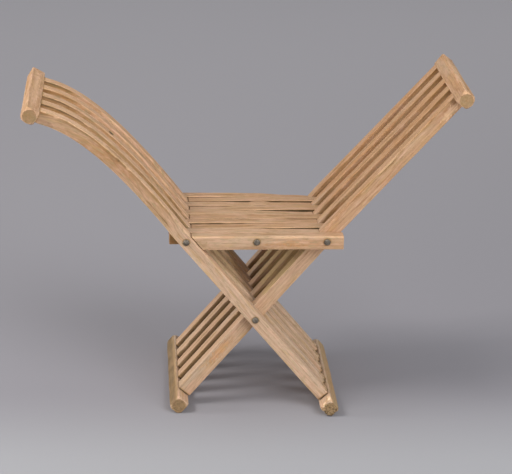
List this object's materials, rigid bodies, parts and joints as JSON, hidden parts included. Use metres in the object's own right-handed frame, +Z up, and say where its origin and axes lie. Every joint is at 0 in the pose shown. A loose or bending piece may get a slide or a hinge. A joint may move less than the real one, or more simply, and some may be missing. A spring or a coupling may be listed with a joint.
{
  "type": "folding chair",
  "caption": "Slatted wooden X-frame folding chair with one arched and one straight arm; staves cross on an iron rod and the hinged seat slats rise as it folds sideways.",
  "frame": {"origin": "on the floor, under the middle of the whole chair's box", "axes": "+Z up, -Y towards the pictured front, -X towards the arched arm"},
  "size_m": [1.0428, 0.423, 0.7976],
  "materials": {
    "arched_wood": "bare, worn and dry",
    "straight_wood": "bare, worn and dry",
    "rail_wood": "bare, worn and dry",
    "seat_wood": "bare, rubbed smooth by use",
    "iron": "dark forged iron"
  },
  "bodies": {
    "arched_frame": {"arched_stave_1": "arched_wood", "arched_stave_2": "arched_wood", "arched_stave_3": "arched_wood", "arched_stave_4": "arched_wood", "arched_stave_5": "arched_wood", "arched_crest_rail": "rail_wood", "arched_foot_rail": "rail_wood", "cross_rod": "iron", "left_seat_rod": "iron"},
    "straight_frame": {"straight_stave_1": "straight_wood", "straight_stave_2": "straight_wood", "straight_stave_3": "straight_wood", "straight_stave_4": "straight_wood", "straight_stave_5": "straight_wood", "straight_crest_rail": "rail_wood", "straight_foot_rail": "rail_wood", "right_seat_rod": "iron"},
    "left_seat": {"left_seat_slat_1": "seat_wood", "left_seat_slat_2": "seat_wood", "left_seat_slat_3": "seat_wood", "left_seat_slat_4": "seat_wood", "left_seat_slat_5": "seat_wood", "middle_pin_left_1": "iron", "middle_pin_left_2": "iron", "middle_pin_left_3": "iron", "middle_pin_left_4": "iron", "middle_pin_left_5": "iron"},
    "right_seat": {"right_seat_slat_1": "seat_wood", "right_seat_slat_2": "seat_wood", "right_seat_slat_3": "seat_wood", "right_seat_slat_4": "seat_wood", "right_seat_slat_5": "seat_wood", "middle_pin_right_1": "iron", "middle_pin_right_2": "iron", "middle_pin_right_3": "iron", "middle_pin_right_4": "iron", "middle_pin_right_5": "iron"}
  },
  "joints": [
    {"name": "fold", "type": "hinge", "parent": "arched_frame", "child": "straight_frame", "pos_m": [0.02284, 0, 0.23248], "axis": [0, -1, 0], "range_deg": [0, 68]},
    {"name": "left_seat_fold", "type": "hinge", "parent": "arched_frame", "child": "left_seat", "pos_m": [-0.14216, 0, 0.42748], "axis": [0, -1, 0], "range_deg": [0, 114.4]},
    {"name": "right_seat_fold", "type": "hinge", "parent": "straight_frame", "child": "right_seat", "pos_m": [0.18784, 0, 0.42748], "axis": [0, -1, 0], "range_deg": [-114.4, 0]}
  ],
  "couplings": [
    {"joint": "left_seat_fold", "follows": "fold", "ratio": 1.6811},
    {"joint": "right_seat_fold", "follows": "fold", "ratio": -1.6811}
  ]
}
